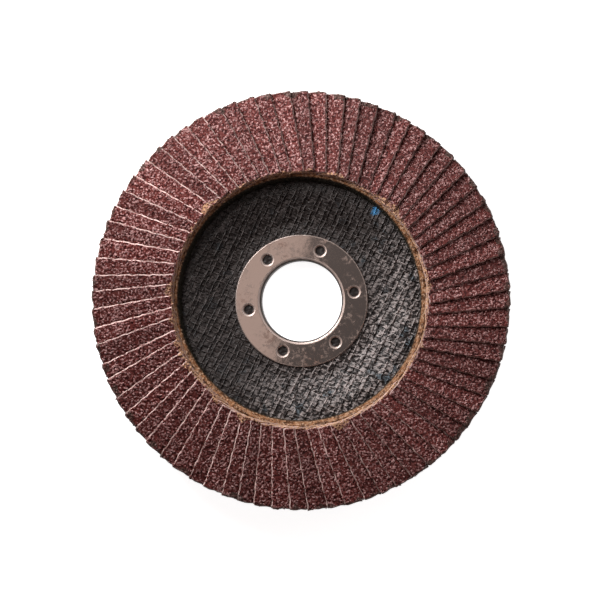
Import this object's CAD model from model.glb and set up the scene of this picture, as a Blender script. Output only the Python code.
"""Finish of a 115 mm flap disc: woven glass plate, pressed steel rings, amber resin and 72 abrasive flaps.

Everything is in metres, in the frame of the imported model: +Z points to the side that grinds, the bore's axis
is Z, and the disc lies on the plane z = 0. Seen from +Z each flap lies over the next one clockwise.
"""

import math
from types import SimpleNamespace

import bmesh
import bpy
import numpy as np
from mathutils import Matrix, Vector


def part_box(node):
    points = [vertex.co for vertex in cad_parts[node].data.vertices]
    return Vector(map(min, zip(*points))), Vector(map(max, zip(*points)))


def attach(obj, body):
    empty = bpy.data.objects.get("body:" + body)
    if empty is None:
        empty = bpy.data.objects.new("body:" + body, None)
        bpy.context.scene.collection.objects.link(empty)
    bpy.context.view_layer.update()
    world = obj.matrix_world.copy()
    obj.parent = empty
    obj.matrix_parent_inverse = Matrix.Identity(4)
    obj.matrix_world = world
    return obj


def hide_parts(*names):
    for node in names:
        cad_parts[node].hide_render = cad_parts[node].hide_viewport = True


bl_info = {
    "name": "Flap disc finish",
    "version": (1, 0, 0),
    "blender": (4, 5, 0),
    "location": "View3D > Sidebar > Flap disc",
    "description": "Makes the finished pieces of a flap disc, and a stage for it",
    "category": "Object",
}

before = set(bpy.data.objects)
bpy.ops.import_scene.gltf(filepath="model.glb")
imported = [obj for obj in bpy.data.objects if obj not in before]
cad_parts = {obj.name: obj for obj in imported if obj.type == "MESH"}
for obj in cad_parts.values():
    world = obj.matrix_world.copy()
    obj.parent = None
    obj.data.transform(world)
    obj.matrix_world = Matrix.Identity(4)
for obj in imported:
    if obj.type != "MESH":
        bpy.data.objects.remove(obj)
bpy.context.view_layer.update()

MM = 0.001
FULL_TURN = 2 * math.pi
BODY = "root"
FLAP_NODES = sorted(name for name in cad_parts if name.startswith("flaps_"))
BED_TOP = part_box("flaps_01")[0].z
FLAP_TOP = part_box("flaps_01")[1].z
PLATE_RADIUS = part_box("backing_plate")[1].x
RING_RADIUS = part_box("front_hub_ring")[1].x
RESIN_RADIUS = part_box("adhesive")[1].x
RESIN_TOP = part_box("adhesive")[1].z

# Sizes of the plate and of the flaps that their Geometry Nodes take in
CLOTH_SIZES = """
    slope_start slope_end hub_level rim_level warp_pitch weft_pitch warp_width weft_width thread_height
    bedding pair_shift crimp sag flooded wander cloth_turn thread_step
""".split()
GRAIN_SIZES = ("grain_spacing", "grain_width", "grit_spacing", "grit_width", "cluster")
# Stripes a metre that a Wave Texture makes at scale 1, and those for the stretched rows of specks
WAVE_STRIPES = 3.1831
ROW_STRIPES = 3.6
# Widths of the patches in which threads sink into the resin, and stray to one side
SINKING_WIDTH = MM / 0.42
STRAYING_WIDTH = MM / 0.19
# Waves round the bead that add up to its lumps
LUMP_WAVES = (9, 23, 41, 67, 101, 149, 211, 307)


# Sizes and colours that a user would change


def length(name, description, millimetres):
    """A length, kept in metres."""
    return bpy.props.FloatProperty(
        name=name, description=description, default=millimetres * MM, unit="LENGTH", precision=5
    )


def angle(name, description, degrees):
    """A turn, kept in radians."""
    return bpy.props.FloatProperty(
        name=name, description=description, default=math.radians(degrees), unit="ROTATION"
    )


def factor(name, description, default):
    """A plain number."""
    return bpy.props.FloatProperty(name=name, description=description, default=default, precision=3)


def count(name, description, default):
    """A whole number."""
    return bpy.props.IntProperty(name=name, description=description, default=default, min=1)


def colour(name, description, default):
    """A linear colour."""
    return bpy.props.FloatVectorProperty(
        name=name, description=description, default=default, size=3, subtype="COLOR", min=0, max=1
    )


class FlapSizes(bpy.types.PropertyGroup):
    """The abrasive flaps and the grain on them."""

    number: count("Flaps", "How many flaps stand round the disc", 72)
    width: length("Width", "Across a flap, from its glued edge to its free edge", 15.0)
    outer_end: length("Outer end", "From the axis to a flap's outer end", 57.009)
    inner_end: length("Inner end", "From the axis to a flap's inner end", 34.609)
    glued_strip: length("Glued strip", "Width that lies flat on the resin", 0.8)
    height: length("Height", "Height of a flap, grain and all", 0.92)
    grain_rise: length("Grain rise", "How far the grain stands out of its resin", 0.27)
    inner_lift: length("Inner lift", "Height of the free edge's foot at the inner end", 6.0)
    outer_lift: length("Outer lift", "Height of the free edge's foot at the outer end", 5.3)
    arch: factor("Arch", "How much a flap flattens towards its free edge", 0.4)
    edge_setback: length("Edge setback", "How far the cut free edge leans back", 0.6)
    end_setback: length("End setback", "How far the cut ends lean back", 0.3)
    corner_round: length("Corner round", "How much the free outer corner is worn off", 0.3)
    edge_wave: length("Edge wave", "How far the cut edges wander", 0.17)
    end_reach: length("End reach", "How far a flap's inner end may reach into the resin", 0.55)
    lift_spread: length("Lift spread", "How far a flap may lie below its full height", 0.5)
    turn_spread: angle("Turn spread", "How far a flap may stand off its even place", 0.42)
    grain_spacing: length("Grain spacing", "Least distance between two large grains", 0.5)
    grain_width: length("Grain width", "Width of a middling large grain", 0.74)
    cluster: length("Cluster", "Width of the clusters in which the grain lies", 1.7)
    grit_spacing: length("Grit spacing", "Least distance between two small grains", 0.44)
    grit_width: length("Grit width", "Width of a middling small grain", 0.34)
    hidden_margin: length("Hidden margin", "Coated width under the next flap's edge", 0.9)
    gloss: factor("Gloss", "Specular level of the resin and the grain", 0.28)
    grain: colour("Grain", "Aluminium oxide grain under its top coat", (0.53, 0.31, 0.298))
    coat: colour("Coat", "Top coat over the smaller grain", (0.125, 0.024, 0.02))
    resin: colour("Resin", "Maroon resin in the hollows", (0.032, 0.002, 0.0015))
    cut_cloth: colour("Cut cloth", "Cotton at the cut edges", (0.62, 0.44, 0.415))
    cloth_back: colour("Cloth back", "Back of the cloth", (0.36, 0.24, 0.17))
    dark_end: colour("Dark end", "Burnt outer ends", (0.065, 0.045, 0.035))
    amber_end: colour("Amber end", "Inner ends soaked in resin", (0.5, 0.29, 0.17))


class PlateSizes(bpy.types.PropertyGroup):
    """The pressed plate of glass cloth and black resin."""

    hub_level: length("Hub level", "Height of the front face at the hub", 4.1)
    rim_level: length("Rim level", "Height of the front face at the rim", 6.9)
    rear_hub_level: length("Rear hub level", "Height of the rear face at the hub", 0.7)
    rear_rim_level: length("Rear rim level", "Height of the rear face at the rim", 4.1)
    slope_start: length("Slope start", "Radius where the dished slope begins", 21.5)
    slope_end: length("Slope end", "Radius where the dished slope ends", 30.0)
    bend_radius: length("Bend radius", "Radius of the bends in section", 6.0)
    hole_radius: length("Hole radius", "Radius of the hole round the steel collar", 11.835)
    edge_round: length("Edge round", "Rounding of the rim", 0.8)
    cloth_turn: angle("Cloth turn", "Direction of the warp from +X", 65.0)
    warp_pitch: length("Warp pitch", "From one warp thread to the next", 1.6)
    weft_pitch: length("Weft pitch", "From one weft thread to the next", 1.5)
    warp_width: length("Warp width", "Width of a warp thread", 1.1)
    weft_width: length("Weft width", "Width of a weft thread", 1.0)
    thread_height: length("Thread height", "Thickness of a thread and the resin round it", 0.52)
    bedding: length("Bedding", "How deep a thread's middle lies in the resin", 0.1)
    pair_shift: length("Pair shift", "How far each warp thread is drawn to its partner", 0.22)
    crimp: length("Crimp", "How far a thread rises and falls as it crosses others", 0.1)
    sag: length("Sag", "How far stretches of thread sink into the resin", 0.22)
    flooded: length("Flooded", "Width beside the bead where resin covers the threads", 1.3)
    wander: length("Wander", "How far the threads stray from straight", 0.75)
    thread_step: length("Thread step", "Length of one straight piece of a thread", 0.42)
    gloss: factor("Gloss", "Specular level of the black resin", 0.35)
    relief: length("Relief", "Depth of the fine relief of threads and specks", 0.22)
    blue: colour("Blue", "Small spot of blue beside the bead", (0.07, 0.26, 0.5))
    blue_distance: length("Blue distance", "From the axis to the blue spot", 32.0)
    blue_reach: length("Blue reach", "Radius of the blue spot and its ragged edge", 1.6)
    blue_ragged: length("Blue ragged", "How far that edge wanders with the specks", 1.6)
    blue_bearing: angle("Blue bearing", "Bearing of the blue spot from +X", 50.0)
    speck_width: length("Speck width", "Width of the bare specks", 0.72)
    between_threads: factor("Between threads", "How bare the resin is between the threads", 0.75)
    worn_side: angle("Worn side", "Turn that brings the barer side of the front to +X", 40.0)
    least_worn: factor("Least worn", "Share of the specks left on the side with the most resin", 0.14)
    black: colour("Black", "Black resin", (0.017, 0.012, 0.011))
    thread: colour("Thread", "Glass threads under black resin", (0.46, 0.4, 0.385))
    thread_tint: colour("Thread tint", "Blue-green of bare glass here and there", (0.035, 0.1, 0.14))


class ResinSizes(bpy.types.PropertyGroup):
    """The amber resin that holds the flaps."""

    bead_foot: length("Bead foot", "Radius where the bead meets the plate", 33.0)
    bead_wall: length("Bead wall", "Radius of the bead's wall at the flaps' ends", 34.579)
    crest_width: length("Crest width", "Width of the bead's crest", 0.45)
    bulge: length("Bulge", "How far the bead's face swells", 0.35)
    lump: length("Lump", "How far the bead's face is uneven", 0.32)
    drop_spacing: length("Drop spacing", "Least distance between two drops on the bead", 0.75)
    drop_width: length("Drop width", "Width of a middling drop", 0.62)
    gloss: factor("Gloss", "Specular level of the resin", 0.25)
    amber: colour("Amber", "Cured resin", (0.3, 0.135, 0.06))
    deep: colour("Deep amber", "Resin in the hollows", (0.08, 0.028, 0.01))
    fleck: colour("Fleck", "Pale flecks of filler and fibre", (0.55, 0.36, 0.24))
    stained_side: angle("Stained side", "Turn that brings the blackest side of the bead to +X", -120.0)
    stain_climb: length("Stain climb", "How much further in the black reaches on that side", 0.75)
    foot_stain: colour("Foot stain", "Black resin that bleeds into the bead's foot", (0.018, 0.015, 0.009))


class SteelSizes(bpy.types.PropertyGroup):
    """The pressed hub rings."""

    steel: colour("Steel", "Zinc plated steel", (0.6, 0.48, 0.435))
    stain: colour("Stain", "Thin rust-brown stains", (0.45, 0.28, 0.23))
    grime: colour("Grime", "Grime where the collar turns down", (0.05, 0.042, 0.038))
    collar_bend: length("Collar bend", "Radius where the steel starts to bend down into the bore", 12.0)
    bore_edge: length("Bore edge", "Radius of the grimy line round the bore", 11.45)
    hole_circle: length("Hole circle", "Radius of the circle of pierced holes", 14.75)
    hole_turn: angle("Hole turn", "Bearing of the first pierced hole from +X", 9.5)
    hole_count: count("Holes", "How many holes are pierced in the front ring", 6)
    lip_radius: length("Lip radius", "Radius to which a pierced hole's rounded lip reaches", 1.85)
    roughness: factor("Roughness", "Roughness of the plating", 0.055)
    metallic: factor("Metallic", "How far the plating shines as bare metal does", 0.86)
    dulled_roughness: factor("Dulled roughness", "Roughness added where the plating has gone dull", 0.22)
    formed_roughness: factor("Formed roughness", "Roughness added where the steel is bent or pierced", 0.45)


class StageSizes(bpy.types.PropertyGroup):
    """Camera, lamps and floor."""

    distance: length("Camera distance", "From the disc's top to the camera", 586.0)
    lean_right: angle("Lean right", "How far the camera stands to the right of the axis", 3.6)
    lean_down: angle("Lean down", "How far the camera stands below the axis", 2.2)
    focus_depth: length("Focus depth", "How far below the flaps' tops the camera aims", 0.7)
    view_width: length("View width", "Width of the picture at the disc's top", 162.96)
    off_right: length("Off right", "Middle of the picture, to the right of the axis", 0.19)
    off_down: length("Off down", "Middle of the picture, below the axis", 0.11)
    key_distance: length("Key distance", "From the disc to the key lamp", 200.0)
    key_height: angle("Key height", "Height of the key lamp above the floor", 35.5)
    key_bearing: angle("Key bearing", "Bearing of the key lamp from +X", 129.0)
    key_size: length("Key size", "Side of the key lamp", 120.0)
    key_power: factor("Key power", "Power of the key lamp in watts", 0.62)
    fill_distance: length("Fill distance", "From the fill lamp to the origin", 350.0)
    fill_height: angle("Fill height", "Height of the fill lamp above the floor", 45.0)
    fill_bearing: angle("Fill bearing", "Bearing of the fill lamp from +X", 35.0)
    fill_size: length("Fill size", "Side of the fill lamp", 250.0)
    fill_power: factor("Fill power", "Power of the fill lamp in watts", 0.19)
    card_level: length("Card level", "Height of the bright card over the disc", 600.0)
    card_edge: length("Card edge", "Where the bright card ends, right of the axis", -42.0)
    card_across: length("Card across", "Middle of the bright card's edge, up the picture", 23.0)
    card_turn: angle("Card turn", "Turn of the bright card's edge", -15.0)
    card_side: length("Card side", "Side of the bright card", 500.0)
    card_light: factor("Card light", "Strength of the bright card in reflections", 0.56)
    card_tint: colour("Card tint", "Colour of the bright card", (1.0, 0.85, 0.77))
    flag_light: factor("Flag light", "Strength of the dark flag in reflections", 0.004)
    ambient: factor("Ambient", "Strength of the light from all round", 0.1)
    ambient_tint: colour("Ambient tint", "Colour of the even light", (1.0, 0.64, 0.59))
    floor_light: factor("Floor light", "How far the floor is whitened for the camera", 0.92)
    floor: colour("Floor", "Pale floor", (0.8, 0.8, 0.8))


# Node trees


class Value:
    """A node's output, for sums with numbers and with other outputs of the same tree."""

    def __init__(self, tree, socket):
        self.tree = tree
        self.socket = socket

    def output(self, name):
        """The output with that name of the same node."""
        return Value(self.tree, find_socket(self.socket.node.outputs, name))

    def __add__(self, other):
        return calculate("ADD", self, other)

    def __sub__(self, other):
        return calculate("SUBTRACT", self, other)

    def __rsub__(self, other):
        return calculate("SUBTRACT", other, self)

    def __mul__(self, other):
        return calculate("MULTIPLY", self, other)

    def __truediv__(self, other):
        return calculate("DIVIDE", self, other)

    def __rtruediv__(self, other):
        return calculate("DIVIDE", other, self)


def find_socket(sockets, key):
    """The socket at that place, or the one in use with that name, which may have _ for its spaces."""
    if isinstance(key, int):
        return sockets[key]
    return next(socket for socket in sockets if socket.name == key.replace("_", " ") and socket.enabled)


def feed(node, inputs):
    """Links each input of a node to a Value, or sets it to a plain value."""
    for key, value in inputs.items():
        socket = find_socket(node.inputs, key)
        if isinstance(value, Value):
            value.tree.links.new(value.socket, socket)
        else:
            socket.default_value = (*value, 1) if socket.type == "RGBA" else value


def add_node(tree, kind, *values, **named):
    """The first output in use of a new node. Named values are inputs if capitalised, or else settings."""
    node = tree.nodes.new(kind)
    for name, value in named.items():
        if name.islower():
            setattr(node, name, value)
    feed(node, dict(enumerate(values)))
    feed(node, {name: value for name, value in named.items() if not name.islower()})
    return Value(tree, next(output for output in node.outputs if output.enabled))


def tree_of(values):
    """The tree that the values are in."""
    return next(value.tree for value in values if isinstance(value, Value))


def calculate(operation, *values):
    """A Math node."""
    return add_node(tree_of(values), "ShaderNodeMath", *values, operation=operation)


def calculate_vector(operation, *values, **named):
    """A Vector Math node."""
    return add_node(tree_of(values), "ShaderNodeVectorMath", *values, operation=operation, **named)


def random_value(tree, low, high, seed):
    """A random number or vector for each element, between its limits."""
    kind = "FLOAT_VECTOR" if isinstance(low, tuple) else "FLOAT"
    return add_node(tree, "FunctionNodeRandomValue", data_type=kind, Min=low, Max=high, Seed=seed)


def ramp(value, start, end, low=0.0, high=1.0, kind="SMOOTHSTEP"):
    """A number that goes from low to high as value goes from start to end, smoothly unless kind is LINEAR."""
    limits = (start, end, low, high)
    return add_node(value.tree, "ShaderNodeMapRange", value, *limits, interpolation_type=kind)


def noise(place, size, detail=2.0, roughness=0.5):
    """A soft random pattern whose blobs are about as wide as size."""
    return add_node(
        place.tree, "ShaderNodeTexNoise", Vector=place, Scale=1 / size, Detail=detail, Roughness=roughness
    )


def vector_of(tree, *parts, **named):
    """A vector made of its parts."""
    return add_node(tree, "ShaderNodeCombineXYZ", *parts, **named)


def part_of(vector, axis):
    """One part of a vector."""
    return add_node(vector.tree, "ShaderNodeSeparateXYZ", vector).output(axis)


def flattened(vector):
    """The vector without its height."""
    return calculate_vector("MULTIPLY", vector, (1, 1, 0))


def axis_distance(place):
    """Distance from the bore's axis."""
    return calculate_vector("LENGTH", flattened(place))


def store(geometry, name, value, domain="POINT"):
    """Keeps a named number on each element of the geometry."""
    kind = "GeometryNodeStoreNamedAttribute"
    settings = {"data_type": "FLOAT", "domain": domain}
    return add_node(geometry.tree, kind, Geometry=geometry, Name=name, Value=value, **settings)


def stored(tree, name):
    """A named number that the geometry keeps."""
    return add_node(tree, "GeometryNodeInputNamedAttribute", data_type="FLOAT", Name=name)


def spread_points(mesh, spacing, density, share, seed):
    """Points over a mesh, spacing apart, of which that share is kept."""
    return add_node(
        mesh.tree,
        "GeometryNodeDistributePointsOnFaces",
        distribute_method="POISSON",
        Mesh=mesh,
        Distance_Min=spacing,
        Density_Max=density,
        Density_Factor=share,
        Seed=seed,
    )


def copies_on(points, instance, **named):
    """A copy of the instance on each point."""
    return add_node(
        points.tree, "GeometryNodeInstanceOnPoints", Points=points, Instance=instance, **named
    )


def join(geometries, kind="GeometryNodeJoinGeometry"):
    """A node that takes in all the geometries."""
    tree = tree_of(geometries)
    node = tree.nodes.new(kind)
    for geometry in geometries:
        tree.links.new(geometry.socket, node.inputs[0])
    return Value(tree, node.outputs[0])


def shown_name(size):
    """The name of a size as a node tree shows it."""
    return size.replace("_", " ").capitalize()


def new_geometry_tree(name, sizes):
    """A Geometry Nodes tree and its named inputs: the geometry, and one for each size."""
    tree = bpy.data.node_groups.new(name, "GeometryNodeTree")
    tree.is_modifier = True
    tree.interface.new_socket("Geometry", in_out="OUTPUT", socket_type="NodeSocketGeometry")
    kinds = {"geometry": "NodeSocketGeometry", "seed": "NodeSocketInt"}
    inputs = ("geometry", *sizes)
    for size in inputs:
        kind = kinds.get(size, "NodeSocketFloat")
        tree.interface.new_socket(shown_name(size), in_out="INPUT", socket_type=kind)
    outputs = tree.nodes.new("NodeGroupInput").outputs
    return tree, SimpleNamespace(**{size: Value(tree, outputs[shown_name(size)]) for size in inputs})


def end_geometry_tree(geometry, material):
    """Makes all instances real, sets the material and ends the tree."""
    tree = geometry.tree
    real = add_node(tree, "GeometryNodeRealizeInstances", Geometry=geometry)
    finished = add_node(tree, "GeometryNodeSetMaterial", Geometry=real, Material=material)
    feed(tree.nodes.new("NodeGroupOutput"), {"Geometry": finished})


def run_geometry_tree(piece, tree, sizes):
    """Replaces a piece's mesh by what the tree makes of it, with no modifier left."""
    modifier = piece.modifiers.new(tree.name, "NODES")
    modifier.node_group = tree
    values = {shown_name(size): value for size, value in sizes.items()}
    for item in tree.interface.items_tree:
        if item.item_type == "SOCKET" and item.in_out == "INPUT" and item.name in values:
            modifier[item.identifier] = values[item.name]
    bpy.context.view_layer.update()
    evaluated = piece.evaluated_get(bpy.context.evaluated_depsgraph_get())
    made = bpy.data.meshes.new_from_object(evaluated)
    piece.modifiers.clear()
    if not made.polygons:
        raise RuntimeError(f"{tree.name} made nothing for {piece.name}")
    piece.data = made


# Meshes


def new_piece(name, mesh):
    """An object of that mesh in the scene."""
    piece = bpy.data.objects.new(name, mesh)
    bpy.context.scene.collection.objects.link(piece)
    return piece


def new_mesh(name, points, faces, values=None):
    """A mesh with named numbers on its points."""
    mesh = bpy.data.meshes.new(name)
    mesh.from_pydata([tuple(point) for point in points], [], faces)
    for value_name, numbers in (values or {}).items():
        attribute = mesh.attributes.new(value_name, "FLOAT", "POINT")
        attribute.data.foreach_set("value", np.asarray(numbers, np.float32))
    mesh.update()
    return mesh


def face_outwards(mesh):
    """Merges doubles and turns all faces outwards."""
    shell = bmesh.new()
    shell.from_mesh(mesh)
    bmesh.ops.remove_doubles(shell, verts=shell.verts, dist=1e-7)
    bmesh.ops.recalc_face_normals(shell, faces=shell.faces)
    shell.to_mesh(mesh)
    shell.free()


def finish_piece(piece, material, nodes=()):
    """Gives a piece its material and says what it rides on and stands for."""
    if not piece.data.materials:
        piece.data.materials.append(material)
    if nodes:
        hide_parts(*nodes)
    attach(piece, BODY)


def bend(start, corner, end, radius, steps=6):
    """Points of an arc that rounds a corner of a line in section."""
    start, corner, end = (np.array(point, float) for point in (start, corner, end))
    back = (start - corner) / np.linalg.norm(start - corner)
    ahead = (end - corner) / np.linalg.norm(end - corner)
    half = math.acos(np.clip(back @ ahead, -1, 1)) / 2
    middle = corner + (back + ahead) / np.linalg.norm(back + ahead) * radius / math.sin(half)
    first = corner + back * radius / math.tan(half)
    last = corner + ahead * radius / math.tan(half)
    arc = []
    for share in np.linspace(0, 1, steps):
        ray = first * (1 - share) + last * share - middle
        arc.append(tuple(middle + ray / np.linalg.norm(ray) * radius))
    return arc


def turned_grid(section, segments, shift=None):
    """Points and faces of a closed section, (radius, height), turned about Z. shift moves the points."""
    turns = np.arange(segments) * FULL_TURN / segments
    radii, levels = (np.tile(line, (segments, 1)) for line in np.array(section).T)
    if shift is not None:
        radii, levels = shift(radii, levels, turns)
    around = turns[:, None]
    points = np.stack([radii * np.cos(around), radii * np.sin(around), levels], axis=2).reshape(-1, 3)
    across = len(section)
    faces = []
    for i in range(segments):
        here, there = i * across, (i + 1) % segments * across
        for j in range(across):
            k = (j + 1) % across
            faces.append((here + j, there + j, there + k, here + k))
    return points, faces


# Materials


def new_material(name):
    """A material, and the point's own place on the piece, in metres."""
    material = bpy.data.materials.new(name)
    material.use_nodes = True
    return material, add_node(material.node_tree, "ShaderNodeTexCoord").output("Object")


def feed_shader(material, colour, roughness, **inputs):
    """Feeds the material's shader, and gives back the material."""
    inputs.update(Base_Color=colour, Roughness=roughness)
    feed(material.node_tree.nodes["Principled BSDF"], inputs)
    return material


def raised(relief, depth, strength=0.8):
    """A surface raised by the relief."""
    return add_node(relief.tree, "ShaderNodeBump", Height=relief, Distance=depth, Strength=strength)


def blend(share, first, second, kind="RGBA"):
    """A mix of two colours, or of two numbers."""
    tree = tree_of((share, first, second))
    return add_node(tree, "ShaderNodeMix", data_type=kind, Factor=share, A=first, B=second)


def attribute(place, name):
    """A number kept on the piece's own points."""
    return add_node(place.tree, "ShaderNodeAttribute", attribute_name=name).output("Fac")


def scaled_place(place, turn, scale):
    """The place turned about Z and stretched, for a pattern that runs one way."""
    return add_node(place.tree, "ShaderNodeMapping", Vector=place, Rotation=(0, 0, turn), Scale=scale)


def distance_along(place, turn):
    """How far the place lies along +X once it is turned about Z."""
    return part_of(scaled_place(place, turn, (1, 1, 1)), "X")


def stripes(place, scale, direction, distortion):
    """Soft stripes, side by side along X or Y."""
    inputs = {"Vector": place, "Scale": scale, "Distortion": distortion, "Detail": 1.0}
    return add_node(place.tree, "ShaderNodeTexWave", bands_direction=direction, **inputs).output("Fac")


def hole_distance(place, sizes):
    """Distance from the axis of the nearest pierced hole."""
    bearing = calculate("ARCTAN2", part_of(place, "Y"), part_of(place, "X")) - sizes.hole_turn
    half = math.pi / sizes.hole_count
    off_hole = calculate("WRAP", bearing, half, -half)
    radius = axis_distance(place)
    along = radius * calculate("COSINE", off_hole) - sizes.hole_circle
    aside = radius * calculate("SINE", off_hole)
    return calculate_vector("LENGTH", vector_of(place.tree, along, aside))


def steel_material(sizes):
    """Pressed, zinc plated steel: satin, with faint scratches, dull spots and stains."""
    material, place = new_material("zinc_plated_steel")
    radius = axis_distance(place)
    cloudy = noise(place, 6 * MM, detail=4)
    spots = noise(place, 1.1 * MM, detail=5, roughness=0.7)
    scratches = noise(scaled_place(place, math.radians(35), (1, 14, 1)), 3 * MM, detail=5)
    soft = 0.1 * MM
    rim = ramp(radius, RING_RADIUS - 0.4 * MM, RING_RADIUS - 0.2 * MM)
    lip = ramp(hole_distance(place, sizes), sizes.lip_radius + soft, sizes.lip_radius - soft)
    turned_down = ramp(radius, sizes.collar_bend + soft, sizes.collar_bend)
    formed = calculate("MAXIMUM", calculate("MAXIMUM", rim, lip), turned_down)

    stained = ramp(cloudy, 0.52, 0.72) * ramp(spots, 0.4, 0.7)
    base = blend(stained * 0.7, sizes.steel, sizes.stain)
    base = blend(ramp(radius, sizes.bore_edge + soft, sizes.bore_edge, 0.0, 0.97), base, sizes.grime)
    dulled = ramp(cloudy, 0.44, 0.54) * ramp(spots, 0.5, 0.62)
    uneven = spots * 0.08 + (sizes.roughness - 0.04) + dulled * sizes.dulled_roughness
    colour = blend(rim * 0.3, base, sizes.grime)
    roughness = uneven + formed * sizes.formed_roughness
    surface = raised(cloudy + scratches * 0.04, 0.03 * MM, 0.5)
    return feed_shader(material, colour, roughness, Metallic=sizes.metallic, Normal=surface)


def worn_cloth(place, sizes):
    """Colour of the plate's front, black resin with specks of bare glass, and the pattern of the specks."""
    in_weave = scaled_place(place, -sizes.cloth_turn, (0.65, 1.15, 1))
    rows = stripes(in_weave, 1 / (ROW_STRIPES * sizes.warp_pitch), "Y", 2.0)
    specks = noise(in_weave, sizes.speck_width, detail=1.2) + ramp(rows, 0.0, 1.0, -0.06, 0.05)
    patches = noise(place, 3.2 * MM)
    worn_side = ramp(distance_along(place, sizes.worn_side), -4 * MM, 26 * MM, sizes.least_worn, 1.0)
    open_face = ramp(axis_distance(place), RING_RADIUS - 0.6 * MM, RING_RADIUS)
    bare = ramp(specks, 0.42, 0.6) * ramp(patches, 0.4, 0.58, 0.65, 1.0) * worn_side * open_face
    tinted = ramp(noise(place, 4.5 * MM), 0.6, 0.68, 0.0, 0.75)
    base = blend(bare, sizes.black, blend(tinted, sizes.thread, sizes.thread_tint))
    spot = in_direction(sizes.blue_bearing, 0, sizes.blue_distance)
    ragged = axis_distance(calculate_vector("SUBTRACT", place, spot)) + specks * sizes.blue_ragged
    blue = ramp(ragged, sizes.blue_reach + 0.7 * MM, sizes.blue_reach)
    return blend(blue, base, sizes.blue), specks


def black_resin_material(sizes):
    """Black resin, pressed against cloth."""
    material, place = new_material("black_resin")
    base, specks = worn_cloth(place, sizes)
    in_weave = scaled_place(place, -sizes.cloth_turn, (1, 1, 1))
    warp = stripes(in_weave, 1 / (WAVE_STRIPES * sizes.warp_pitch), "Y", 1.0)
    weft = stripes(in_weave, 1 / (WAVE_STRIPES * sizes.weft_pitch), "X", 1.0)
    colour = blend(sizes.between_threads, sizes.black, base)
    roughness = ramp(noise(place, 0.5 * MM, detail=4), 0.3, 0.7, 0.35, 0.55)
    surface = raised(calculate("MAXIMUM", warp, weft) * 0.5 + specks, sizes.relief)
    return feed_shader(material, colour, roughness, Specular_IOR_Level=sizes.gloss, Normal=surface)


def glass_cloth_material(sizes):
    """Glass threads wetted with black resin, grey where the resin is thin on their crests."""
    material, place = new_material("glass_cloth_resin")
    base, specks = worn_cloth(place, sizes)
    along_warp, along_weft = (
        noise(scaled_place(place, -sizes.cloth_turn, scale), 1.6 * MM, detail=3)
        for scale in ((1, 5, 5), (5, 1, 5))
    )
    strands = blend(attribute(place, "weft"), along_warp, along_weft, kind="FLOAT")
    roughness = ramp(strands, 0.3, 0.7, 0.5, 0.32)
    surface = raised(strands + specks, sizes.relief)
    return feed_shader(material, base, roughness, Specular_IOR_Level=sizes.gloss, Normal=surface)


def amber_material(sizes):
    """Cured amber resin, cloudy with flecks of filler and fibre, and stained black along its foot."""
    material, place = new_material("amber_epoxy")
    cloudy = noise(place, 1.5 * MM, detail=3, roughness=0.6)
    flecks = noise(place, 0.6 * MM, detail=3, roughness=0.6)
    body = blend(ramp(cloudy, 0.36, 0.56), sizes.deep, sizes.amber)
    flecked = blend(ramp(flecks, 0.5, 0.64, 0.0, 0.9), body, sizes.fleck)
    climbed = ramp(distance_along(place, sizes.stained_side), -15 * MM, 25 * MM, 0.0, sizes.stain_climb)
    radius = axis_distance(place) + flecks * (0.5 * MM) - climbed
    clear = ramp(radius, sizes.bead_foot + 0.1 * MM, sizes.bead_foot + 0.65 * MM)
    colour = blend(clear, sizes.foot_stain, flecked)
    roughness = ramp(flecks, 0.3, 0.7, 0.4, 0.65)
    surface = raised(flecks, 0.16 * MM)
    return feed_shader(material, colour, roughness, Specular_IOR_Level=sizes.gloss, Normal=surface)


def abrasive_material(sizes):
    """Maroon resin and grain on cotton cloth, pale where it is cut."""
    material, place = new_material("abrasive_cloth")
    grain, layer, tone = (attribute(place, name) for name in ("grain", "layer", "tone"))
    fine = noise(place, 0.24 * MM, detail=3, roughness=0.6)
    threads = noise(place, 0.5 * MM)
    blobs = noise(place, 0.64 * MM, detail=1.5)
    radius = axis_distance(place)

    frayed = ramp(threads, 0.28, 0.44, 0.2, 1.0) * ramp(noise(place, 5 * MM), 0.34, 0.5, 0.4, 1.0)
    cut = blend(frayed, sizes.resin, sizes.cut_cloth)
    cloth = blend(ramp(layer, 0.02, 0.1), sizes.cloth_back, cut)
    covered = blend(ramp(blobs, 0.38, 0.5), sizes.resin, sizes.coat)
    covered = blend(ramp(blobs, 0.56, 0.7), covered, sizes.grain)
    body = blend(ramp(layer, 0.8, 0.95), cloth, covered)
    worn = ramp(fine, 0.3, 0.6, 0.3, 1.0) * ramp(grain, 0.3, 1.1)
    coated = blend(ramp(grain, 0.01, 0.05), body, blend(worn, sizes.coat, sizes.grain))

    soft = 0.3 * MM
    drips = ramp(noise(place, 7 * MM), 0.5, 0.68, 0.3 * MM, 2.2 * MM)
    inner = ramp(radius - drips, sizes.inner_end + soft, sizes.inner_end)
    ambered = blend(inner * ramp(threads, 0.4, 0.55), coated, sizes.amber_end)
    scorched = ramp(noise(place, 4 * MM, detail=1), 0.44, 0.72, 0.1 * MM, 1.7 * MM)
    outer = ramp(radius + scorched, sizes.outer_end - soft, sizes.outer_end)
    burnt = blend(outer * ramp(threads, 0.3, 0.55, 0.2, 0.8), ambered, sizes.dark_end)
    brightness = ramp(tone, 0.0, 1.0, 0.84, 1.16)
    shiny = calculate("MAXIMUM", ramp(blobs, 0.5, 0.62), ramp(grain, 0.1, 0.8))
    colour = add_node(place.tree, "ShaderNodeHueSaturation", Color=burnt, Value=brightness)
    roughness = ramp(ramp(fine, 0.7, 0.3) * shiny, 0.0, 1.0, 0.75, 0.3)
    surface = raised(blobs + fine * 0.3, 0.3 * MM)
    return feed_shader(material, colour, roughness, Specular_IOR_Level=sizes.gloss, Normal=surface)


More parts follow.
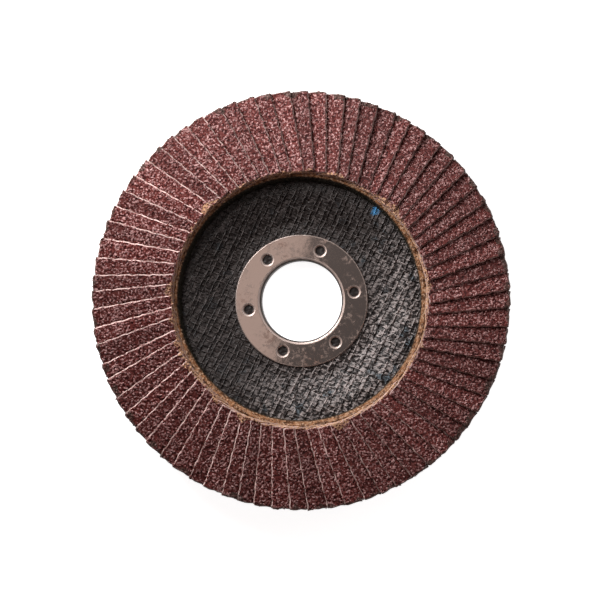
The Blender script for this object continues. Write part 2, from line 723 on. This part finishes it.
def seen_directly(tree):
    """1 for rays from the camera, reflections and light through glass, and 0 for the rest."""
    path = add_node(tree, "ShaderNodeLightPath")
    seen = calculate("MAXIMUM", path.output("Is Camera Ray"), path.output("Is Glossy Ray"))
    return calculate("MAXIMUM", seen, path.output("Is Transmission Ray"))


def floor_material(sizes):
    """Pale floor that shows white, apart from a soft shadow."""
    material = new_material("pale_floor")[0]
    glow = seen_directly(material.node_tree) * sizes.floor_light
    return feed_shader(material, sizes.floor, 0.9, Emission_Color=(1, 1, 1), Emission_Strength=glow)


# Hub rings


class FLAPDISC_OT_hub_rings(bpy.types.Operator):
    """Gives the two pressed steel rings their plating"""

    bl_idname = "flap_disc.hub_rings"
    bl_label = "Hub rings"

    def execute(self, context):
        material = steel_material(context.scene.flap_disc_steel)
        for name in ("front_hub_ring", "rear_hub_ring"):
            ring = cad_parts[name]
            ring.data.materials.clear()
            ring.data.materials.append(material)
        return {"FINISHED"}


# Backing plate


def plate_section(sizes):
    """The plate's closed section, (radius, height), anticlockwise."""
    corners = [
        (sizes.hole_radius, sizes.rear_hub_level),
        (sizes.slope_start, sizes.rear_hub_level),
        (sizes.slope_end, sizes.rear_rim_level),
        (PLATE_RADIUS, sizes.rear_rim_level),
        (PLATE_RADIUS, sizes.rim_level),
        (sizes.slope_end, sizes.rim_level),
        (sizes.slope_start, sizes.hub_level),
        (sizes.hole_radius, sizes.hub_level),
    ]
    section = [corners[0]]
    for before, corner, after in zip(corners, corners[1:], corners[2:]):
        radius = sizes.edge_round if corner[0] == PLATE_RADIUS else sizes.bend_radius
        section += bend(before, corner, after, radius)
    return section + [corners[-1]]


def centred_points(half_count, step, axis):
    """A line of points a step apart, with as many each side of its middle."""
    tree = step.tree
    return add_node(
        tree,
        "GeometryNodeMeshLine",
        mode="OFFSET",
        Count=half_count * 2.0 + 1.0,
        Start_Location=vector_of(tree, **{axis: half_count * step * -1.0}),
        Offset=vector_of(tree, **{axis: step}),
    )


def thread_family(tree, given, pitch, crossed_pitch, width, is_weft):
    """Threads of one direction: lines side by side, cut to the dished ring and pressed on to it."""
    along, across = "YX" if is_weft else "XY"
    steps = calculate("FLOOR", given.outer_radius / given.thread_step)
    places = centred_points(calculate("FLOOR", given.outer_radius / pitch), pitch, across)
    places = store(places, "row", calculate("FLOORED_MODULO", add_node(tree, "GeometryNodeInputIndex"), 2.0))
    one_line = centred_points(steps, given.thread_step, along)
    lines = add_node(tree, "GeometryNodeRealizeInstances", Geometry=copies_on(places, one_line))

    place = add_node(tree, "GeometryNodeInputPosition")
    radius = calculate_vector("LENGTH", place)
    too_far = calculate("GREATER_THAN", radius, given.outer_radius)
    too_near = calculate("LESS_THAN", radius, given.inner_radius)
    outside = calculate("MAXIMUM", too_far, too_near)
    lines = add_node(tree, "GeometryNodeDeleteGeometry", Geometry=lines, Selection=outside, domain="POINT")

    row = stored(tree, "row")
    crossings = part_of(place, along) / crossed_pitch
    side = -1.0 if is_weft else 1.0
    lift = calculate("COSINE", (crossings + row) * math.pi) * given.crimp * side
    sunk = ramp(noise(place, SINKING_WIDTH, detail=1.0), 0.56, 0.4, 0.0, given.sag, "LINEAR")
    to_edge = (given.outer_radius - radius) / given.flooded
    flooded = ramp(to_edge, 1.1, 0.7, 0.0, given.sag, "LINEAR")
    lift = lift - calculate("MAXIMUM", sunk, flooded) - given.bedding
    level = ramp(radius, given.slope_start, given.slope_end, given.hub_level, given.rim_level, "LINEAR")

    stray = noise(place, STRAYING_WIDTH, detail=1.0).output("Color")
    stray = flattened(calculate_vector("SUBTRACT", stray, (0.5, 0.5, 0.5)))
    strayed = calculate_vector("ADD", place, calculate_vector("SCALE", stray, Scale=given.wander))
    if not is_weft:
        shift = (1.0 - row * 2.0) * given.pair_shift
        strayed = calculate_vector("ADD", strayed, vector_of(tree, Y=shift))
    turned = add_node(
        tree, "ShaderNodeVectorRotate", rotation_type="Z_AXIS", Vector=strayed, Angle=given.cloth_turn
    )
    placed = calculate_vector("ADD", flattened(turned), vector_of(tree, Z=level + lift))
    lines = add_node(tree, "GeometryNodeSetPosition", Geometry=lines, Position=placed)

    curves = add_node(tree, "GeometryNodeMeshToCurve", Mesh=lines)
    curves = add_node(tree, "GeometryNodeSetCurveNormal", Curve=curves, mode="Z_UP")
    circle = add_node(tree, "GeometryNodeCurvePrimitiveCircle", Resolution=8, Radius=0.5)
    thickness = vector_of(tree, given.thread_height, width, 1.0)
    outline = add_node(tree, "GeometryNodeTransform", Geometry=circle, Scale=thickness)
    ends = {"Fill_Caps": True}
    threads = add_node(tree, "GeometryNodeCurveToMesh", Curve=curves, Profile_Curve=outline, **ends)
    return store(threads, "weft", float(is_weft))


def glass_cloth_tree(material, sizes):
    """A tree that weaves flattened threads over the dished front face."""
    tree, given = new_geometry_tree("glass_cloth", sizes)
    warp = thread_family(tree, given, given.warp_pitch, given.weft_pitch, given.warp_width, False)
    weft = thread_family(tree, given, given.weft_pitch, given.warp_pitch, given.weft_width, True)
    end_geometry_tree(join((warp, weft)), material)
    return tree


class FLAPDISC_OT_backing_plate(bpy.types.Operator):
    """Makes the dished plate and the glass cloth that shows on its front"""

    bl_idname = "flap_disc.backing_plate"
    bl_label = "Backing plate"

    segments = 180
    under_ring = 0.6 * MM
    under_bead = 0.4 * MM

    def execute(self, context):
        sizes = context.scene.flap_disc_plate
        points, faces = turned_grid(plate_section(sizes), self.segments)
        body_mesh = new_mesh("plate_body", points, faces)
        face_outwards(body_mesh)
        body = new_piece("plate_body", body_mesh)
        finish_piece(body, black_resin_material(sizes), ["backing_plate"])

        cloth_material = glass_cloth_material(sizes)
        cloth = new_piece("glass_cloth", bpy.data.meshes.new("glass_cloth"))
        cloth_sizes = {name: getattr(sizes, name) for name in CLOTH_SIZES}
        cloth_sizes["inner_radius"] = RING_RADIUS - self.under_ring
        cloth_sizes["outer_radius"] = context.scene.flap_disc_resin.bead_foot + self.under_bead
        run_geometry_tree(cloth, glass_cloth_tree(cloth_material, cloth_sizes), cloth_sizes)
        cloth.data.shade_smooth()
        finish_piece(cloth, cloth_material)
        return {"FINISHED"}


# Adhesive


def resin_section(sizes, foot_level, face_points):
    """The resin's closed section: the bead's swelling face, crest and wall, and the bed under the flaps."""
    foot = np.array([sizes.bead_foot, foot_level])
    crest = np.array([sizes.bead_wall - sizes.crest_width, RESIN_TOP])
    outward = np.array([-(crest - foot)[1], (crest - foot)[0]])
    outward = outward / np.linalg.norm(outward)
    face = []
    for share in np.linspace(0, 1, face_points):
        swell = 4 * share * (1 - share) * sizes.bulge
        face.append(tuple(foot + (crest - foot) * share + outward * swell))
    return face + [
        (sizes.bead_wall, RESIN_TOP),
        (sizes.bead_wall, BED_TOP),
        (RESIN_RADIUS, BED_TOP),
        (RESIN_RADIUS, foot_level),
    ]


def lumpy_face(sizes, face_points, seed):
    """Makes the bead's face uneven all the way round."""
    random = np.random.default_rng(seed)

    def shift(radii, levels, turns):
        lumps = np.zeros(radii.shape)
        up = np.arange(radii.shape[1])[None, :]
        for waves in LUMP_WAVES:
            phase = random.uniform(0, FULL_TURN)
            tilt = random.uniform(-0.9, 0.9)
            lumps += np.sin(waves * turns[:, None] + tilt * up + phase) / waves**0.35
        lumps = lumps / np.abs(lumps).max() * sizes.lump
        fade = np.zeros(radii.shape[1])
        fade[1:face_points] = 1
        fade[face_points - 1] = 0.5
        return radii - np.abs(lumps) * fade, levels + lumps * fade * 0.6

    return shift


def drops_tree(material):
    """A tree that scatters small drops of resin over the bead."""
    tree, given = new_geometry_tree("resin_drops", ("drop_spacing", "drop_width", "seed"))
    spread = spread_points(given.geometry, given.drop_spacing, 4e6, stored(tree, "face"), given.seed)
    ball = add_node(tree, "GeometryNodeMeshIcoSphere", Radius=0.5, Subdivisions=2)
    shape = random_value(tree, (0.6, 0.6, 0.15), (2.0, 1.4, 0.4), 3)
    scale = calculate_vector("SCALE", shape, Scale=given.drop_width)
    drops = copies_on(spread, ball, Rotation=spread.output("Rotation"), Scale=scale)
    end_geometry_tree(join((given.geometry, drops)), material)
    return tree


class FLAPDISC_OT_adhesive(bpy.types.Operator):
    """Makes the amber resin: a bed under the flaps and a lumpy bead along their inner ends"""

    bl_idname = "flap_disc.adhesive"
    bl_label = "Adhesive"

    segments = 900
    face_points = 12
    seed = 7

    def execute(self, context):
        sizes = context.scene.flap_disc_resin
        section = resin_section(sizes, context.scene.flap_disc_plate.rim_level, self.face_points)
        shift = lumpy_face(sizes, self.face_points, self.seed)
        points, faces = turned_grid(section, self.segments, shift)
        on_face = np.zeros(len(section))
        on_face[1 : self.face_points + 1] = 1
        mesh = new_mesh("resin", points, faces, {"face": np.tile(on_face, self.segments)})
        face_outwards(mesh)
        resin = new_piece("resin_bead_and_bed", mesh)
        material = amber_material(sizes)
        drop_sizes = {"drop_spacing": sizes.drop_spacing, "drop_width": sizes.drop_width, "seed": self.seed}
        run_geometry_tree(resin, drops_tree(material), drop_sizes)
        resin.data.shade_smooth()
        finish_piece(resin, material, ["adhesive"])
        return {"FINISHED"}


# Flaps


def slow_wave(places, height, spacing, random):
    """A smooth random wave along a line."""
    shares = (1.0, 0.55, 0.3)
    wave = np.zeros_like(places)
    for share in shares:
        phase = random.uniform(0, FULL_TURN)
        wave += share * np.sin(FULL_TURN * places / (spacing * share) + phase)
    return height * wave / sum(shares)


def flap_grid(sizes, turn, random):
    """Points, faces and point values of one flap, turned clockwise into its place."""
    half = sizes.width / 2
    glued = [-half, -half + sizes.glued_strip]
    across = np.array([*glued, *np.linspace(-3.5 * MM, half - 0.9 * MM, 11), half - 0.35 * MM, half])
    along = np.linspace(sizes.inner_end, sizes.outer_end, 29)
    x, v = np.meshgrid(along, across, indexing="ij")
    share = (x - sizes.inner_end) / (sizes.outer_end - sizes.inner_end)

    lift = sizes.inner_lift + (sizes.outer_lift - sizes.inner_lift) * share
    lift = lift - random.uniform(0, 0.5) * sizes.lift_spread
    lift = lift - np.abs(slow_wave(along, sizes.lift_spread / 2, 17 * MM, random))[:, None]
    run = (v + half - sizes.glued_strip) / (sizes.width - sizes.glued_strip)
    climb = (1 + sizes.arch - sizes.arch * run) * run * lift

    free = np.clip((v - 1 * MM) / (half - 1 * MM), 0, 1) ** 2
    ripple = np.abs(slow_wave(along, sizes.edge_wave, 7 * MM, random)[:, None] * free)
    sway = slow_wave(along, sizes.edge_wave, 4 * MM, random)[:, None] * free
    low = BED_TOP + np.maximum(climb, 0) - ripple
    high = BED_TOP + sizes.height - sizes.grain_rise + climb - ripple
    low_v = v + sway - sizes.edge_wave * free
    high_v = low_v.copy()
    high_v[:, -1] -= sizes.edge_setback
    high[:, -1] -= sizes.edge_setback * (1 - sizes.arch) * lift[:, -1] / sizes.width

    ends = np.zeros_like(x)
    ends[0] = np.abs(slow_wave(across, sizes.edge_wave, 3 * MM, random))
    corner = np.clip((across - half) / (3 * sizes.corner_round) + 1, 0, 1) ** 2
    ends[-1] = -np.abs(slow_wave(across, 2 * sizes.edge_wave, 3 * MM, random)) - sizes.corner_round * corner
    low_x = x + ends - random.uniform(0, 1) * sizes.end_reach * (1 - share) ** 6
    high_x = low_x.copy()
    high_x[0] += sizes.end_setback
    high_x[-1] -= sizes.end_setback

    layers = np.stack([(low_x, -low_v, low), (high_x, -high_v, high)])
    points = np.moveaxis(layers, 1, 3).reshape(-1, 3) @ np.array(Matrix.Rotation(-turn, 3, "Z")).T
    seen = v > half - x * math.sin(FULL_TURN / sizes.number) - sizes.hidden_margin
    values = {
        "layer": np.repeat([0.0, 1.0], x.size),
        "coated": np.concatenate([np.zeros(x.size), seen.reshape(-1).astype(float)]),
        "tone": np.full(2 * x.size, random.uniform(0, 1)),
    }
    return points, box_faces(*x.shape), values


def box_faces(rows, columns):
    """Faces of a closed slab: a low and a high grid of points, and the four sides between them."""
    faces = []

    def at(i, j, high):
        return i * columns + j + high * rows * columns

    for i in range(rows - 1):
        for j in range(columns - 1):
            faces.append((at(i, j, 0), at(i + 1, j, 0), at(i + 1, j + 1, 0), at(i, j + 1, 0)))
            faces.append((at(i, j, 1), at(i, j + 1, 1), at(i + 1, j + 1, 1), at(i + 1, j, 1)))
    for i in range(rows - 1):
        for j in (0, columns - 1):
            side = (at(i, j, 0), at(i, j, 1), at(i + 1, j, 1), at(i + 1, j, 0))
            faces.append(side if j == 0 else side[::-1])
    for j in range(columns - 1):
        for i in (0, rows - 1):
            side = (at(i, j, 0), at(i, j + 1, 0), at(i, j + 1, 1), at(i, j, 1))
            faces.append(side if i == 0 else side[::-1])
    return faces


def crystal_kinds(block, shake, sink, seed, kinds=6):
    """A few broken crystals made from one block by moving its corners, each sunk in its resin."""
    tree = block.tree
    crystals = []
    for kind in range(kinds):
        low, high = (-shake, -shake, -shake - sink), (shake, shake, shake - sink)
        shift = random_value(tree, low, high, seed + kind)
        crystal = add_node(tree, "GeometryNodeSetPosition", Geometry=block, Offset=shift)
        crystals.append(add_node(tree, "GeometryNodeSetShadeSmooth", Geometry=crystal, Shade_Smooth=False))
    return join(crystals, "GeometryNodeGeometryToInstance")


def scatter(given, crystals, spacing, width, lightness, sparse, seed):
    """Crystals of one size over the coated face, in clusters, each tumbled its own way."""
    tree = spacing.tree
    clusters = noise(add_node(tree, "GeometryNodeInputPosition"), given.cluster, detail=1.0)
    density = 1.0 / (spacing * spacing)
    share = stored(tree, "coated") * ramp(clusters, 0.42, 0.56, sparse, 1.0, "LINEAR")
    spread = spread_points(given.geometry, spacing, density, share, given.seed + float(seed))
    tumble = random_value(tree, (-0.6, -0.6, 0.0), (0.6, 0.6, FULL_TURN), seed + 1)
    rotation = add_node(
        tree,
        "FunctionNodeRotateRotation",
        rotation_space="LOCAL",
        Rotation=spread.output("Rotation"),
        Rotate_By=add_node(tree, "FunctionNodeEulerToRotation", Euler=tumble),
    )
    shape = random_value(tree, (0.55, 0.5, 0.6), (1.5, 1.1, 1.2), seed + 2)
    scale = calculate_vector("SCALE", shape, Scale=width)
    grains = copies_on(spread, crystals, Pick_Instance=True, Rotation=rotation, Scale=scale)
    return store(grains, "grain", random_value(tree, *lightness, seed + 3), "INSTANCE")


def grain_tree(material, sizes):
    """A tree that coats a flap with large angular grains and small grit between them."""
    tree, given = new_geometry_tree("abrasive_grain", sizes)
    boulder = add_node(tree, "GeometryNodeMeshIcoSphere", Radius=0.5, Subdivisions=1)
    corner = {"Vertices": 3, "Radius_Top": 0.0, "Radius_Bottom": 0.62, "Depth": 0.7}
    chip = add_node(tree, "GeometryNodeMeshCone", fill_type="TRIANGLE_FAN", **corner)
    boulders = crystal_kinds(boulder, 0.15, 0.05, 10)
    chips = crystal_kinds(chip, 0.1, 0.25, 20)
    grains = scatter(given, boulders, given.grain_spacing, given.grain_width, (0.35, 1.0), 0.4, 31)
    grit = scatter(given, chips, given.grit_spacing, given.grit_width, (0.06, 0.4), 0.8, 61)
    end_geometry_tree(join((given.geometry, grains, grit)), material)
    return tree


class FLAPDISC_OT_flaps(bpy.types.Operator):
    """Makes the abrasive flaps, each a slightly wavy slab of cloth under a coat of grain"""

    bl_idname = "flap_disc.flaps"
    bl_label = "Flaps"

    seed = 115

    def execute(self, context):
        sizes = context.scene.flap_disc_flaps
        material = abrasive_material(sizes)
        grain_sizes = {name: getattr(sizes, name) for name in GRAIN_SIZES}
        tree = grain_tree(material, (*grain_sizes, "seed"))
        random = np.random.default_rng(self.seed)
        pitch = FULL_TURN / sizes.number
        per_node = sizes.number // len(FLAP_NODES)
        for index, node in enumerate(FLAP_NODES):
            slabs, faces = [], []
            for place in range(index * per_node, (index + 1) * per_node):
                turn = place * pitch + random.uniform(-1, 1) * sizes.turn_spread
                points, slab_faces, values = flap_grid(sizes, turn, random)
                first = len(slabs) * len(points)
                faces += [tuple(first + corner for corner in face) for face in slab_faces]
                slabs.append({"points": points, **values})
            joined = {name: np.concatenate([slab[name] for slab in slabs]) for name in slabs[0]}
            mesh = new_mesh(f"abrasive_{node}", joined.pop("points"), faces, joined)
            flaps = new_piece(f"abrasive_{node}", mesh)
            run_geometry_tree(flaps, tree, {**grain_sizes, "seed": self.seed + index})
            finish_piece(flaps, material, [node])
        return {"FINISHED"}


# Stage


def in_direction(bearing, height, distance):
    """The point at that distance from the origin, on a bearing from +X and at an angle above the floor."""
    raised = Vector((math.cos(height), 0, math.sin(height))) * distance
    return Matrix.Rotation(bearing, 3, "Z") @ raised


def flat_sheet(name, side, centre, material, turn=0.0):
    """A flat square on the stage."""
    half = side / 2
    corners = [(-half, -half, 0), (half, -half, 0), (half, half, 0), (-half, half, 0)]
    spin = Matrix.Rotation(turn, 3, "Z")
    points = [spin @ Vector(corner) + Vector(centre) for corner in corners]
    sheet = new_piece(name, new_mesh(name, points, [(0, 1, 2, 3)]))
    sheet.data.materials.append(material)
    return sheet


def reflected_card(name, side, centre, strength, tint=(1, 1, 1), turn=0.0):
    """A card over the disc that is seen in reflections only."""
    material = bpy.data.materials.new(name)
    material.use_nodes = True
    tree = material.node_tree
    tree.nodes.clear()
    glow = add_node(tree, "ShaderNodeEmission", Color=tint, Strength=strength)
    feed(tree.nodes.new("ShaderNodeOutputMaterial"), {"Surface": glow})
    card = flat_sheet(name, side, centre, material, turn)
    for rays in ("camera", "diffuse", "transmission", "shadow"):
        setattr(card, f"visible_{rays}", False)


def add_lamp(sizes, name):
    """A square soft lamp that faces the origin."""
    lamp = bpy.data.lights.new(f"{name}_lamp", "AREA")
    lamp.size = getattr(sizes, f"{name}_size")
    lamp.energy = getattr(sizes, f"{name}_power")
    holder = bpy.data.objects.new(f"{name}_lamp", lamp)
    bpy.context.scene.collection.objects.link(holder)
    holder.visible_camera = False
    where = (getattr(sizes, f"{name}_{part}") for part in ("bearing", "height", "distance"))
    holder.location = in_direction(*where)
    holder.rotation_euler = (-holder.location).to_track_quat("-Z", "Y").to_euler()


def add_camera(sizes):
    """A camera almost straight above the disc, a little to the right of its axis and below it."""
    camera = bpy.data.cameras.new("camera")
    camera.sensor_width = 36.0
    camera.lens = camera.sensor_width * sizes.distance / sizes.view_width
    camera.clip_start, camera.clip_end = 0.01, 20.0
    holder = bpy.data.objects.new("camera", camera)
    bpy.context.scene.collection.objects.link(holder)
    back = Vector((math.tan(sizes.lean_right), -math.tan(sizes.lean_down), 1)).normalized()
    up = (Vector((0, 1, 0)) - back * back.y).normalized()
    right = up.cross(back)
    place = Matrix((right, up, back)).transposed().to_4x4()
    aim = Vector((sizes.off_right, -sizes.off_down, FLAP_TOP - sizes.focus_depth))
    place.translation = aim + back * sizes.distance
    holder.matrix_world = place
    bpy.context.scene.camera = holder


def light_world(sizes):
    """White to the camera and in reflections, and a weak even light on everything."""
    world = bpy.data.worlds.new("studio")
    bpy.context.scene.world = world
    world.use_nodes = True
    seen = seen_directly(world.node_tree)
    tint = blend(seen, sizes.ambient_tint, (1, 1, 1))
    strength = ramp(seen, 0.0, 1.0, sizes.ambient, 1.0)
    feed(world.node_tree.nodes["Background"], {"Color": tint, "Strength": strength})


class FLAPDISC_OT_stage(bpy.types.Operator):
    """Sets up the floor, the lamps, the world and the camera"""

    bl_idname = "flap_disc.stage"
    bl_label = "Stage"

    floor_side = 6.0
    flag_side = 12.0
    flag_gap = 0.1

    def execute(self, context):
        sizes = context.scene.flap_disc_stage
        context.scene.view_settings.view_transform = "Standard"
        flat_sheet("floor", self.floor_side, (0, 0, 0), floor_material(sizes))
        flag_place = (0, 0, sizes.card_level + self.flag_gap)
        reflected_card("dark_flag", self.flag_side, flag_place, sizes.flag_light)
        inward = in_direction(sizes.card_turn, 0, -sizes.card_side / 2)
        card_place = Vector((sizes.card_edge, sizes.card_across, sizes.card_level)) + inward
        reflected_card(
            "bright_card", sizes.card_side, card_place, sizes.card_light, sizes.card_tint, sizes.card_turn
        )
        add_lamp(sizes, "key")
        add_lamp(sizes, "fill")
        light_world(sizes)
        add_camera(sizes)
        return {"FINISHED"}


class FLAPDISC_PT_pieces(bpy.types.Panel):
    """Lists the steps that make the flap disc"""

    bl_label = "Flap disc"
    bl_idname = "FLAPDISC_PT_pieces"
    bl_space_type = "VIEW_3D"
    bl_region_type = "UI"
    bl_category = "Flap disc"

    def draw(self, context):
        for operator in OPERATORS:
            self.layout.operator(operator.bl_idname)
        for name in SIZE_GROUPS:
            group = getattr(context.scene, name)
            box = self.layout.box()
            for size in group.__annotations__:
                box.prop(group, size)


SIZE_GROUPS = {
    "flap_disc_flaps": FlapSizes,
    "flap_disc_plate": PlateSizes,
    "flap_disc_resin": ResinSizes,
    "flap_disc_steel": SteelSizes,
    "flap_disc_stage": StageSizes,
}
OPERATORS = (
    FLAPDISC_OT_hub_rings,
    FLAPDISC_OT_backing_plate,
    FLAPDISC_OT_adhesive,
    FLAPDISC_OT_flaps,
    FLAPDISC_OT_stage,
)


def register():
    for group_name, group in SIZE_GROUPS.items():
        bpy.utils.register_class(group)
        setattr(bpy.types.Scene, group_name, bpy.props.PointerProperty(type=group))
    for operator in OPERATORS:
        bpy.utils.register_class(operator)
    bpy.utils.register_class(FLAPDISC_PT_pieces)


def unregister():
    bpy.utils.unregister_class(FLAPDISC_PT_pieces)
    for operator in reversed(OPERATORS):
        bpy.utils.unregister_class(operator)
    for group_name, group in reversed(SIZE_GROUPS.items()):
        delattr(bpy.types.Scene, group_name)
        bpy.utils.unregister_class(group)


def main():
    register()
    bpy.ops.flap_disc.hub_rings()
    bpy.ops.flap_disc.backing_plate()
    bpy.ops.flap_disc.adhesive()
    bpy.ops.flap_disc.flaps()
    bpy.ops.flap_disc.stage()


if __name__ == "__main__":
    main()
